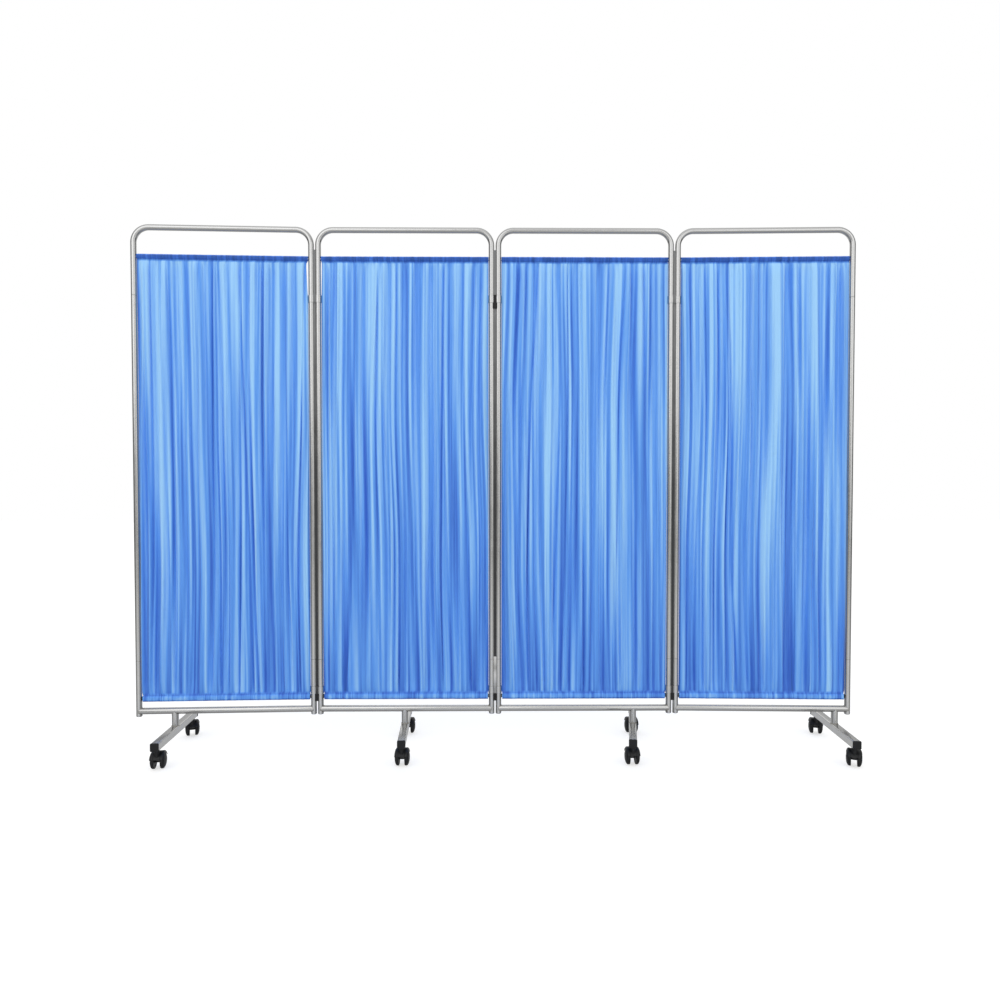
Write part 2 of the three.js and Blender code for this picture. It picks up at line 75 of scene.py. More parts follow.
def hexToLinear(code):
    # sRGB hex to linear light: a straight foot below 0.04045 and a power of 2.4 above it
    value = np.array([int(code[i : i + 2], 16) for i in (1, 3, 5)]) / 255
    linear = np.where(value <= 0.04045, value / 12.92, ((value + 0.055) / 1.055) ** 2.4)
    return (*linear.tolist(), 1.0)


def addNode(tree, kind, settings=None):
    # a node's first output, or an output, is linked to the socket of that name or number. Another value,
    # a hex made linear, is set there or as the node's own field. MapRange has 0 value, 1-2 from, 3-4 to.
    node = tree.nodes.new("ShaderNode" + kind)
    for name, value in (settings or {}).items():
        if isinstance(value, str) and value.startswith("#"):
            value = hexToLinear(value)
        if isinstance(value, bpy.types.Node):
            value = value.outputs[0]
        if isinstance(value, bpy.types.NodeSocket):
            tree.links.new(value, node.inputs[name])
        elif isinstance(name, int) or name in node.inputs:
            node.inputs[name].default_value = value
        else:
            setattr(node, name, value)
    return node


def emptyTree(owner):
    # the owner's node tree without its default nodes
    owner.use_nodes = True
    owner.node_tree.nodes.clear()
    return owner.node_tree


studio = {
    "ambient": 0.9,  # world light on the object
    "key": (46.0, (-2.2, -3.6, 3.2), 4.0),  # power, place, size
    "fill": (29.0, (2.8, -3.4, 2.2), 3.6),
    "back": (20.0, (0.4, 3.2, 2.8), 4.0),
    "aimHeight": 0.85,
    "floorReach": 14.0,
    "floorTop": -0.0004,
    "floorTone": "#bdbdbc",
    "floorGlow": 0.62,
    "flags": 0.73,  # how much of the studio the black flags at its two sides hide from a mirror
    "belt": (0.6, -0.05, 0.17),  # the same for the dark far wall: depth, height of its middle, half-width
    "below": (0.52, 0.28, 0.7),  # and for the floor right below: depth, where its dark begins and is full
}


def seenWhite(tree, rays):
    # 1 for a ray from the camera, off a mirror or through glass, and 0 for light that falls on things
    seen = addNode(tree, "Math", {"operation": "MAXIMUM", 0: rays["Is Camera Ray"], 1: rays["Is Glossy Ray"]})
    return addNode(tree, "Math", {"operation": "MAXIMUM", 0: seen, 1: rays["Is Transmission Ray"]})


def hiddenFromMirrors(tree, rays):
    # for a unit ray (x, y, z) off a mirror: 1 - (1 - flags x^2) * belt * below. Belt rises smoothly from
    # 1 - depth at its middle height to 1 at its half-width; below falls smoothly from 1 to 1 - depth
    # between its two values of -z. Incoming is (-x, -y, -z).
    depth, middle, halfWidth = studio["belt"]
    belowDepth, begins, full = studio["below"]
    incoming = addNode(tree, "NewGeometry").outputs["Incoming"]
    axes = addNode(tree, "SeparateXYZ", {"Vector": incoming}).outputs
    side = addNode(tree, "Math", {"operation": "MULTIPLY", 0: axes["X"], 1: axes["X"]})
    side = addNode(tree, "Math", {"operation": "MULTIPLY_ADD", 0: side, 1: -studio["flags"], 2: 1.0})
    height = addNode(tree, "Math", {"operation": "ADD", 0: axes["Z"], 1: middle})
    height = addNode(tree, "Math", {"operation": "ABSOLUTE", 0: height})
    belt, below = (height, 0.0, halfWidth, 1 - depth, 1.0), (axes["Z"], begins, full, 1.0, 1 - belowDepth)
    kept = side
    for steps in (belt, below):
        smooth = {"interpolation_type": "SMOOTHSTEP", **dict(enumerate(steps))}
        share = addNode(tree, "MapRange", smooth)
        kept = addNode(tree, "Math", {"operation": "MULTIPLY", 0: kept, 1: share})
    hidden = addNode(tree, "Math", {"operation": "SUBTRACT", 0: 1.0, 1: kept})
    return addNode(tree, "Math", {"operation": "MULTIPLY", 0: hidden, 1: rays["Is Glossy Ray"]})


world = bpy.data.worlds.new("studio")
scene.world = world
tree = emptyTree(world)
rays = addNode(tree, "LightPath").outputs
level = addNode(tree, "MapRange", {0: seenWhite(tree, rays), 3: studio["ambient"]})
kept = addNode(tree, "Math", {"operation": "SUBTRACT", 0: 1.0, 1: hiddenFromMirrors(tree, rays)})
level = addNode(tree, "Math", {"operation": "MULTIPLY", 0: level, 1: kept})
sky = addNode(tree, "Background", {"Color": "#ffffff", "Strength": level})
addNode(tree, "OutputWorld", {"Surface": sky})

for lampName in ("key", "fill", "back"):
    power, lampPlace, size = studio[lampName]
    lamp = bpy.data.objects.new(lampName, bpy.data.lights.new(lampName, "AREA"))
    lamp.data.energy = power
    lamp.data.size = size
    lamp.location = lampPlace
    aim = studio["aimHeight"] * upward - np.array(lampPlace)
    tilt, turn = math.atan2(math.hypot(aim[0], aim[1]), -aim[2]), math.atan2(aim[1], aim[0]) - math.pi / 2
    lamp.rotation_euler = (tilt, 0, turn)
    scene.collection.objects.link(lamp)

# the floor is a grey card to the light that falls on it, and glows where it has to be seen white
floorMaterial = bpy.data.materials.new("studio floor")
tree = emptyTree(floorMaterial)
rays = addNode(tree, "LightPath").outputs
paint = addNode(tree, "BsdfDiffuse", {"Color": studio["floorTone"]})
glow = addNode(tree, "Emission", {"Strength": studio["floorGlow"]})
dark = addNode(tree, "Emission", {"Strength": 0.0})
lift = addNode(tree, "MixShader", {0: seenWhite(tree, rays), 1: dark, 2: glow})
lit = addNode(tree, "AddShader", {0: paint, 1: lift})
surface = addNode(tree, "MixShader", {0: hiddenFromMirrors(tree, rays), 1: lit, 2: dark})
addNode(tree, "OutputMaterial", {"Surface": surface})
floorMesh = bpy.data.meshes.new("floor")
reach = studio["floorReach"]
corners = [(x * reach, y * reach, studio["floorTop"]) for x, y in ((-1, -1), (1, -1), (1, 1), (-1, 1))]
floorMesh.from_pydata(corners, [], [(0, 1, 2, 3)])
floorMesh.materials.append(floorMaterial)
floor = bpy.data.objects.new("floor", floorMesh)
scene.collection.objects.link(floor)
print("camera and studio are set")

# Materials


def makeMaterial(name, recipe, tones):
    # the recipe gives a surface's settings and a pattern, which stands up by the depth times the strength
    material = bpy.data.materials.new(name)
    tree = emptyTree(material)
    settings, pattern, depth, strength = recipe(tree, *tones)
    bump = addNode(tree, "Bump", {"Height": pattern, "Distance": depth, "Strength": strength})
    surface = addNode(tree, "BsdfPrincipled", {**settings, "Normal": bump})
    addNode(tree, "OutputMaterial", {"Surface": surface})
    return material


def polishedStainlessSteel(tree, light, shade, roughLow, roughHigh):
    # drawn stainless tube, belt polished and buffed: a mirror softened by fine lines along the tube,
    # with faint handling smudges
    uvPlace = addNode(tree, "UVMap", {"uv_map": "UVMap"})
    objectPlace = addNode(tree, "TexCoord").outputs["Object"]
    # lines 0.5 mm apart and 60 mm long; real ones are about 0.02 mm apart, too fine to show
    lineScale = addNode(tree, "Mapping", {"Scale": (2000, 16, 1), "Vector": uvPlace})
    lines = addNode(tree, "TexNoise", {"Scale": 1.0, "Detail": 2.0, "Vector": lineScale})
    patches = {"Scale": 26.0, "Detail": 3.0, "Roughness": 0.55, "Vector": objectPlace}
    smudges = addNode(tree, "TexNoise", patches)
    settings = {
        "Base Color": addNode(tree, "Mix", {"data_type": "RGBA", 0: lines, 6: light, 7: shade}).outputs[2],
        "Roughness": addNode(tree, "MapRange", {0: smudges, 1: 0.3, 2: 0.7, 3: roughLow, 4: roughHigh}),
        "Metallic": 1.0,
        "Specular Tint": (0.62, 0.62, 0.62, 1.0),
    }
    return settings, lines, 0.00003, 0.07


def mouldedPlastic(tree, light, shade, roughness, grain, specular):
    # injection-moulded nylon or ABS: a fine spark-eroded grain that breaks up a soft highlight,
    # and slightly paler worn patches
    objectPlace = addNode(tree, "TexCoord").outputs["Object"]
    fine = addNode(tree, "TexNoise", {"Scale": 1 / grain, "Detail": 3.0, "Vector": objectPlace})
    patches = {"Scale": 60.0, "Detail": 4.0, "Roughness": 0.6, "Vector": objectPlace}
    broad = addNode(tree, "TexNoise", patches)
    settings = {
        "Base Color": addNode(tree, "Mix", {"data_type": "RGBA", 0: broad, 6: shade, 7: light}).outputs[2],
        "Roughness": addNode(tree, "MapRange", {0: broad, 3: roughness - 0.08, 4: roughness + 0.1}),
        "IOR": 1.5,
        "Specular IOR Level": specular,
    }
    return settings, fine, 0.00004, 0.5


def vinylPaintedLitTop(tree, shadedTone, litTone):
    # extruded soft vinyl: matt, with a fine orange peel, and paler towards its top as painted light from
    # above, by its height plus half a blotchy noise
    objectPlace = addNode(tree, "TexCoord").outputs["Object"]
    peel = addNode(tree, "TexNoise", {"Scale": 650.0, "Detail": 3.0, "Vector": objectPlace})
    blotch = addNode(tree, "TexNoise", {"Scale": 9.0, "Detail": 3.0, "Vector": objectPlace})
    height = addNode(tree, "SeparateXYZ", {0: objectPlace}).outputs["Z"]
    strayed = addNode(tree, "Math", {"operation": "MULTIPLY_ADD", 0: blotch, 1: 0.5, 2: height})
    # painted light: paler with height
    paintedTopLight = addNode(tree, "MapRange", {0: strayed, 1: 1.2, 2: 1.75})
    settings = {
        "Base Color": addNode(tree, "Mix", {"data_type": "RGBA", 0: paintedTopLight, 6: shadedTone, 7: litTone}).outputs[2],
        "IOR": 1.5,
        "Specular IOR Level": 0.3,
        "Roughness": 0.6,
    }
    return settings, peel, 0.00004, 0.5


def wovenPolyester(tree):
    # filament polyester satin, woven and piece dyed, with a soft sheen across the folds. Its colour follows
    # the painted light and shade: paler as painted light through one layer, deeper as painted shade in the
    # folds, and deepest as painted shade at the sewn channels
    paintedLightAndShade = addNode(tree, "Attribute", {"attribute_name": "paintedLightAndShade"}).outputs["Fac"]
    uvPlace = addNode(tree, "UVMap", {"uv_map": "UVMap"})
    # slubs in the warp 1.4 mm apart; real threads are 0.15 mm apart, too fine to show
    slubScale = addNode(tree, "Mapping", {"Scale": (700, 12, 1), "Vector": uvPlace})
    slubs = addNode(tree, "TexNoise", {"Scale": 1.0, "Detail": 2.0, "Vector": slubScale})
    weftScale = addNode(tree, "Mapping", {"Scale": (14, 900, 1), "Vector": uvPlace})
    weft = addNode(tree, "TexNoise", {"Scale": 1.0, "Detail": 1.0, "Vector": weftScale})
    weave = addNode(tree, "Math", {"operation": "MULTIPLY", 0: slubs, 1: weft})
    strayed = addNode(tree, "Math", {"operation": "MULTIPLY_ADD", 0: slubs, 1: 0.3, 2: -0.15})
    depth = addNode(tree, "Math", {"operation": "ADD", 0: paintedLightAndShade, 1: strayed})
    # the palest colour is painted light through a single layer; each deeper tone is more painted shade
    colour = "#a0d3fe"
    for start, tone in ((0.0, "#61a0f3"), (0.5, "#386acd"), (1.0, "#24509a")):
        share = addNode(tree, "MapRange", {0: depth, 1: start, 2: start + 0.5})
        colour = addNode(tree, "Mix", {"data_type": "RGBA", 0: share, 6: colour, 7: tone}).outputs[2]
    settings = {
        "Base Color": colour,
        "Roughness": 0.52,
        "IOR": 1.45,
        "Specular IOR Level": 0.3,
        "Sheen Weight": 0.25,
        "Sheen Roughness": 0.4,
    }
    return settings, weave, 0.0002, 0.6


steel, black, fabric = "polished_stainless_tube", "moulded_black_plastic", "curtain_cloth"
rodSteel, tyre, vinyl = "curtain_rod_steel", "castor_wheel", "hinge_strip"
# each finish: the name of a slot, which its pieces are not given, and its material's recipe, name, tones and
# settings
finishes = {
    "tube": (steel, polishedStainlessSteel, "polished stainless tube", "#bebebd", "#b6b6b5", 0.18, 0.26),
    "rod": (rodSteel, polishedStainlessSteel, "bright zinc plated rod", "#bcbec1", "#a6a8aa", 0.28, 0.4),
    "weld": (steel, polishedStainlessSteel, "brushed weld bead", "#b4b1aa", "#95918a", 0.34, 0.5),
    "cloth": (fabric, wovenPolyester, "woven polyester satin"),
    "thread": (fabric, mouldedPlastic, "spun polyester thread", "#5f8fd8", "#3f6cbc", 0.7, 0.0004, 0.2),
    "plastic": (black, mouldedPlastic, "moulded black nylon", "#1a1b1d", "#0c0d0e", 0.42, 0.0009, 0.3),
    "wheel": (tyre, mouldedPlastic, "moulded polyamide wheel", "#1f2022", "#101112", 0.5, 0.0012, 0.3),
    # the strip's two tones: painted shade low down and painted light at its top
    "strip": (vinyl, vinylPaintedLitTop, "extruded grey vinyl", "#3b3c3d", "#7e7f80"),
}
for finish, (slotName, recipe, name, *tones) in finishes.items():
    finishes[finish] = slotName, makeMaterial(name, recipe, tones)
print("materials:", len(finishes))

# Surfaces


def runningLength(rows, axis, closed):
    # mean distance from point to point along one direction of the grid, summed
    if closed:
        rows = np.concatenate([rows, rows.take([0], axis)], axis)
    steps = np.linalg.norm(np.diff(rows, axis=axis), axis=-1).mean(axis=1 - axis)
    return np.concatenate([[0.0], np.cumsum(steps)])


def skin(rows, spot, closed=False):
    # quads between neighbouring rings of points, carried to the spot; open ends get flat caps. U is the
    # length along a ring and V the length across the rings.
    rows = place(np.asarray(rows), spot)
    rowCount, columnCount = rows.shape[:2]
    rowSteps = np.arange(rowCount if closed else rowCount - 1)
    ring = np.arange(columnCount)
    row, column = np.meshgrid(rowSteps, ring, indexing="ij")
    cornerRow = np.stack([row, row, row + 1, row + 1], -1).reshape(-1, 4)
    cornerColumn = np.stack([column, column + 1, column + 1, column], -1).reshape(-1, 4)
    quads = cornerRow % rowCount * columnCount + cornerColumn % columnCount
    acrossLength, downLength = runningLength(rows, 1, True), runningLength(rows, 0, closed)
    uv = np.stack([acrossLength[cornerColumn], downLength[cornerRow]], -1)
    caps = [] if closed else [ring[::-1], ring + (rowCount - 1) * columnCount]
    return {"points": rows.reshape(-1, 3), "quads": quads, "uv": uv, "caps": caps}


def facingOut(shell):
    # a closed shell whose signed volume is negative is turned inside out
    points = shell["points"]
    a, b, c, d = (points[shell["quads"][:, i]] for i in range(4))
    volume = np.einsum("ij,ij->", a, np.cross(b, c) + np.cross(c, d))
    for cap in shell["caps"]:
        fan = points[cap]
        volume += np.einsum("ij,ij->", np.repeat(fan[:1], len(cap) - 2, 0), np.cross(fan[1:-1], fan[2:]))
    if volume >= 0:
        return shell
    flipped = {key: shell[key][:, ::-1] for key in ("quads", "uv")}
    return {**shell, **flipped, "caps": [cap[::-1] for cap in shell["caps"]]}


def makePiece(name, shells, finish, body, replaced=(), sharpAngle=38, values=None):
    # the shells as one mesh, smooth but for edges sharper than the angle; the values belong to its points
    shells = [facingOut(shell) for shell in shells]
    starts = np.cumsum([0] + [len(shell["points"]) for shell in shells])
    corners, sizes, uv = [], [], []
    for shell, start in zip(shells, starts):
        corners.append(shell["quads"].ravel() + start)
        sizes.append(np.full(len(shell["quads"]), 4))
        uv.append(shell["uv"].reshape(-1, 2))
        for cap in shell["caps"]:
            corners.append(cap + start)
            sizes.append([len(cap)])
            uv.append((shell["points"][cap] - shell["points"][cap].mean(0))[:, :2])
    corners, sizes, uv = (np.concatenate(part) for part in (corners, sizes, uv))
    points = np.concatenate([shell["points"] for shell in shells])
    mesh = bpy.data.meshes.new(name)
    mesh.vertices.add(len(points))
    mesh.vertices.foreach_set("co", points.astype(np.float32).ravel())
    mesh.loops.add(len(corners))
    mesh.loops.foreach_set("vertex_index", corners.astype(np.int32))
    mesh.polygons.add(len(sizes))
    mesh.polygons.foreach_set("loop_start", (np.cumsum(sizes) - sizes).astype(np.int32))
    mesh.update(calc_edges=True)
    mesh.uv_layers.new(name="UVMap").uv.foreach_set("vector", uv.astype(np.float32).ravel())
    for valueName, array in (values or {}).items():
        attribute = mesh.attributes.new(valueName, "FLOAT", "POINT")
        attribute.data.foreach_set("value", array.astype(np.float32).ravel())
    mesh.shade_smooth()
    mesh.set_sharp_from_angle(angle=math.radians(sharpAngle))
    slotName, material = finishes[finish]
    mesh.materials.append(material)
    piece = bpy.data.objects.new(name, mesh)
    scene.collection.objects.link(piece)
    if replaced:
        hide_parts(*replaced)
    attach(piece, body)
    return piece


def place(points, spot):
    # local x, y and z are carried along the spot's three directions from its origin
    x, y, z = points[..., :1], points[..., 1:2], points[..., 2:]
    return spot["origin"] + x * spot["along"] + y * spot["back"] + z * upward


def shifted(spot, x=0.0, y=0.0, z=0.0):
    # the same spot with its origin moved by local x, y and z
    return {**spot, "origin": place(np.array([x, y, z]), spot)}


def unit(vectors):
    # each vector divided by its length
    return vectors / np.linalg.norm(vectors, axis=-1, keepdims=True)


def around(sides):
    # angles evenly round a circle
    return np.linspace(0, 2 * np.pi, sides, endpoint=False)


def rings(centres, across, up, radii, sides):
    # a circle at each station: centre + radius (cos a across + sin a up)
    turn = around(sides)[:, None]
    across, up = (np.broadcast_to(axis, centres.shape)[:, None] for axis in (across, up))
    return centres[:, None] + np.asarray(radii)[:, None, None] * (np.cos(turn) * across + np.sin(turn) * up)


def turned(profile, axis, sides):
    # a profile of (radius, place) turned about one of the three axes
    profile = np.asarray(profile)
    return rings(profile[:, 1:] * axis, np.roll(axis, 1), np.roll(axis, 2), profile[:, 0], sides)


def roundedEdge(radius, end, rounding):
    # a quarter round from a tube's side on to its lower end, as (radius, place) pairs
    angle = np.linspace(0, np.pi / 2, 5)
    return np.stack([radius - rounding * (1 - np.cos(angle)), end + rounding * (1 - np.sin(angle))], 1)


def roundedBar(radius, half, rounding):
    # a profile from one rounded end to its mirror image
    start = roundedEdge(radius, -half, rounding)
    return np.concatenate([start[::-1], start * [1, -1]])


def boxMiddle(node):
    # the middle of a node's box
    return np.mean(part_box(node), axis=0)


def spotAlong(origin, along):
    # a frame in plan, with its origin on the floor and its back a quarter turn from its along
    return {"origin": origin * [1, 1, 0], "along": along, "back": np.array([-along[1], along[0], 0.0])}


def spotBetween(start, end):
    # a frame in plan that runs from one point to the other, with its origin between them
    return spotAlong((start + end) / 2, unit((end - start) * [1, 1, 0]))


numbers = (1, 2, 3, 4)
panelSpots = {}
for n in numbers:
    panelSpots[n] = spotBetween(*(boxMiddle(f"panel_{n}_side_tube_{side}") for side in ("left", "right")))
jointPlaces = {joint["name"]: joint for joint in frame["joints"]}

# Tubes

tubes = {
    "halfSpacing": 0.288,
    "radius": 0.0095,
    "wall": 0.0012,
    "cornerRadius": 0.05,
    "top": 1.75,
    "upperSeam": 1.518,
    "legTop": 1.538,  # where the arch's leg is at its full radius for good
    "lowerSeam": 0.309,
    "seamGap": 0.0003,
    "spigot": 0.03,
    "spigotRadius": 0.008,
    "foot": 0.124,
    "railHeight": 0.141,
    "railRadius": 0.01075,
    "railHalf": 0.2884,
    "railRounding": 0.0016,
    "edge": 0.0005,
    "sides": 40,
    "bead": (0.0011, 0.0006, 0.00012),  # the rail weld's radius, its thinning and its ripple
    "beadRipples": 24,
}


def archRows(legHeights, legRadii, radius):
    # up the left leg, round a quarter circle, across the top, and the mirror image down the right leg
    angle = np.linspace(0, np.pi / 2, 19)
    half, corner = tubes["halfSpacing"], tubes["cornerRadius"]
    bendHeight = tubes["top"] - tubes["radius"] - corner
    bend = np.stack([-half + corner * (1 - np.cos(angle)), angle * 0, bendHeight + corner * np.sin(angle)], 1)
    legs = np.array([(-half, 0, height) for height in legHeights])
    centres = np.concatenate([legs, bend])
    bendDirections = np.stack([np.sin(angle), angle * 0, np.cos(angle)], 1)
    directions = np.concatenate([np.tile(upward, (len(legs), 1)), bendDirections])
    radii = np.concatenate([legRadii, np.full(len(bend), radius)])
    centres = np.concatenate([centres, centres[::-1] * [-1, 1, 1]])
    directions = np.concatenate([directions, directions[::-1] * [1, 1, -1]])
    radii = np.concatenate([radii, radii[::-1]])
    return rings(centres, np.cross(backward, directions), backward, radii, tubes["sides"])


def topFrame(spot):
    # an arch whose legs end in spigots, with one bore through both
    seam, edge, legTop = tubes["upperSeam"], tubes["edge"], tubes["legTop"]
    spigotEnd, outer, spigot = seam - tubes["spigot"], tubes["radius"], tubes["spigotRadius"]
    heights = [spigotEnd, spigotEnd + edge, seam, seam, seam + edge, legTop]
    outside = archRows(heights, [spigot - edge, spigot, spigot, outer - edge, outer, outer], outer)
    bore = spigot - tubes["wall"]
    inside = archRows([spigotEnd, legTop], [bore, bore], bore)
    return skin(np.concatenate([outside, inside[::-1]]), spot, closed=True)


def walledTube(spot, outside, bore):
    # an outer profile of (radius, height) upwards, closed by a plain bore
    inside = [(bore, outside[-1][1]), (bore, outside[0][1])]
    return skin(turned([*outside, *inside], upward, tubes["sides"]), spot, closed=True)


def straightTube(spot):
    # from seam to seam, with a small bevel at both ends
    bottom, top = tubes["lowerSeam"] + tubes["seamGap"], tubes["upperSeam"] - tubes["seamGap"]
    radius, edge = tubes["radius"], tubes["edge"]
    outside = [(radius - edge, bottom), (radius, bottom + edge), (radius, top - edge), (radius - edge, top)]
    return walledTube(spot, outside, radius - tubes["wall"])


def baseUpright(spot):
    # from the foot to the lower seam, and a spigot above it
    seam, radius, edge, spigot = tubes["lowerSeam"], tubes["radius"], tubes["edge"], tubes["spigotRadius"]
    foot, spigotEnd = tubes["foot"], seam + tubes["spigot"]
    outside = [(radius - edge, foot), (radius, foot + edge), (radius, seam - edge), (radius - edge, seam)]
    outside += [(spigot, seam), (spigot, spigotEnd - edge), (spigot - edge, spigotEnd)]
    return walledTube(spot, outside, spigot - tubes["wall"])


def rail(spot):
    # a bar between the posts' axes, with rounded ends
    profile = roundedBar(tubes["railRadius"], tubes["railHalf"], tubes["railRounding"])
    return skin(turned(profile, rightward, tubes["sides"]), shifted(spot, z=tubes["railHeight"]))


def railWeld(spot, side):
    # where the rail meets the post: an angle round the rail gives y and z, and the post's circle gives x
    angle = around(96)
    railRadius, postRadius, half = tubes["railRadius"], tubes["radius"], tubes["halfSpacing"]
    y = railRadius * np.sin(angle)
    x = side * (half - np.sqrt(np.maximum(postRadius**2 - y**2, 0)))
    centres = np.stack([x, y, tubes["railHeight"] + railRadius * np.cos(angle)], 1)
    tangent = unit(np.roll(centres, -1, 0) - np.roll(centres, 1, 0))
    outward = np.stack([angle * 0, np.sin(angle), np.cos(angle)], 1)
    across = unit(np.cross(tangent, outward))
    # thinner at the front and back, where a folded neighbour's rail passes close by
    radius, thinning, ripple = tubes["bead"]
    radii = radius - thinning * np.sin(angle) ** 2 + ripple * np.sin(angle * tubes["beadRipples"])
    return skin(rings(centres, across, np.cross(across, tangent), radii, 10), spot, closed=True)


def postPlug(spot):
    # a domed button that closes the post's foot, and the plug inside its wall
    radius, foot = tubes["radius"], tubes["foot"]
    plug = radius - tubes["wall"] - 0.0021
    profile = [(0.0012, foot - 0.0019), (0.005, foot - 0.0016), (0.0078, foot - 0.0009)]
    profile += [(radius - 0.0006, foot - 0.0001), (radius - 0.0007, foot), (plug, foot + 0.0001)]
    return skin(turned([*profile, (plug, foot + 0.004)], upward, 32), spot)


for n in numbers:
    spot, body = panelSpots[n], f"panel_{n}"
    left, right = shifted(spot, -tubes["halfSpacing"]), shifted(spot, tubes["halfSpacing"])
    makePiece(f"top_frame_{n}", [topFrame(spot)], "tube", body, [f"panel_{n}_top_frame"])
    for side, post in (("left", left), ("right", right)):
        tube = f"panel_{n}_side_tube_{side}"
        makePiece(f"side_tube_{n}_{side}", [straightTube(post)], "tube", body, [tube])
    shells = [baseUpright(left), baseUpright(right), rail(spot)]
    makePiece(f"base_frame_{n}", shells, "tube", body, [f"panel_{n}_base_frame"])
    makePiece(f"rail_welds_{n}", [railWeld(spot, -1), railWeld(spot, 1)], "weld", body)
    makePiece(f"post_plugs_{n}", [postPlug(left), postPlug(right)], "plastic", body)
print("tube frames are made")

# Curtain rods

rods = {
    "radius": 0.004,
    "end": 0.2825,
    "rounding": 0.0008,
    "flangeRadius": 0.0065,
    "flange": 0.0022,  # its thickness, above a step of 0.4 mm
    "shankRadius": 0.0049,  # inside the hem's channel
    "ferruleStart": 0.2712,
    "ferruleEnd": 0.2782,
}
rodHeights = {end: boxMiddle(f"panel_2_curtain_rod_{end}")[2] for end in ("top", "bottom")}


def rodShell(spot, height):
    # a bar with rounded ends at that height
    profile = roundedBar(rods["radius"], rods["end"], rods["rounding"])
    return skin(turned(profile, rightward, 24), shifted(spot, z=height))


def ferruleShell(spot, side):
    # a moulded bush: a shank with a rounded inner edge, and a flat flange against the post
    radius, shank, bore = rods["flangeRadius"], rods["shankRadius"], rods["radius"]
    start, end, flange = rods["ferruleStart"], rods["ferruleEnd"], rods["flange"]
    edge = roundedEdge(shank, start, rods["rounding"])[::-1]
    profile = [(bore, start), *edge, (shank, end - flange - 0.0004), (radius, end - flange)]
    profile += [(radius, end - 0.0003), (radius - 0.0003, end), (bore, end)]
    rows = turned(np.array(profile) * [1, side], rightward, 32)
    return skin(rows, shifted(spot, z=rodHeights["bottom"]), closed=True)


for n in numbers:
    spot, body = panelSpots[n], f"panel_{n}"
    for end, height in rodHeights.items():
        makePiece(f"rod_{end}_{n}", [rodShell(spot, height)], "rod", body, [f"panel_{n}_curtain_rod_{end}"])
    shells = [ferruleShell(spot, -1), ferruleShell(spot, 1)]
    makePiece(f"rod_ferrules_{n}", shells, "plastic", body, [f"panel_{n}_curtain_rod_bottom"])
print("curtain rods are made")

# Curtains

cloth = {
    "columns": 400,
    "fineColumns": 2400,
    "bodyRows": 84,
    "channelRows": 9,
    "top": 1.654,
    "bottom": 0.172,
    "pocket": 0.015,
    "hem": 0.0205,
    "channelHalf": 0.0056,  # half of a channel's thickness round its rod
    "half": 0.0004,  # half of the cloth's own thickness
    "edgeAtPost": 0.2778,
    "edgeAtHem": 0.2754,
    "hang": 0.13,  # the height in which a loose edge comes back to the post
    "depth": 0.009,  # the most that a fold strays from the panel's plane
    "foldGain": 1.75,
    "creases": 35,
    "creaseSpan": 0.556,
    # finer painted light and shade, from broad to fine: how much of it, and its cells across and up
    "shades": ((0.03, 0.05, 0.7), (0.07, 0.017, 0.4), (0.36, 0.0078, 0.6), (0.26, 0.0047, 0.45)),
    "puckers": 0.0011,
    "near": 1e-6,
    "flat": (0.8, 1.55),
    "seed": 41,
    "stitch": 0.003,
    "stitchLift": 0.00045,
    "threadRadius": 0.00032,
}
# how far the cloth's edge hangs back from the post under the pocket, left and right, on each panel
edgeInsets = {1: (0, 0.0065), 2: (0.003, 0), 3: (0, 0), 4: (0, 0)}


def smoothStep(value, start, end):
    # 3 s^2 - 2 s^3 of the share s of the way from start to end
    share = np.clip((value - start) / (end - start), 0, 1)
    return share * share * (3 - 2 * share)


def valueNoise(random, x, z, cellX, cellZ):
    # random values on a lattice, joined by smooth steps in both directions, from -1 to 1
    lattice = random.uniform(-1, 1, (64, 160))
    u, v = x / cellX + 71.3, z / cellZ + 7.7
    column, row = np.floor(u).astype(int), np.floor(v).astype(int)
    shareX, shareZ = smoothStep(u - column, 0, 1), smoothStep(v - row, 0, 1)
    left, right, lines = column % 160, (column + 1) % 160, (row % 64, (row + 1) % 64)
    near, far = (lattice[line, left] * (1 - shareX) + lattice[line, right] * shareX for line in lines)
    return near * (1 - shareZ) + far * shareZ


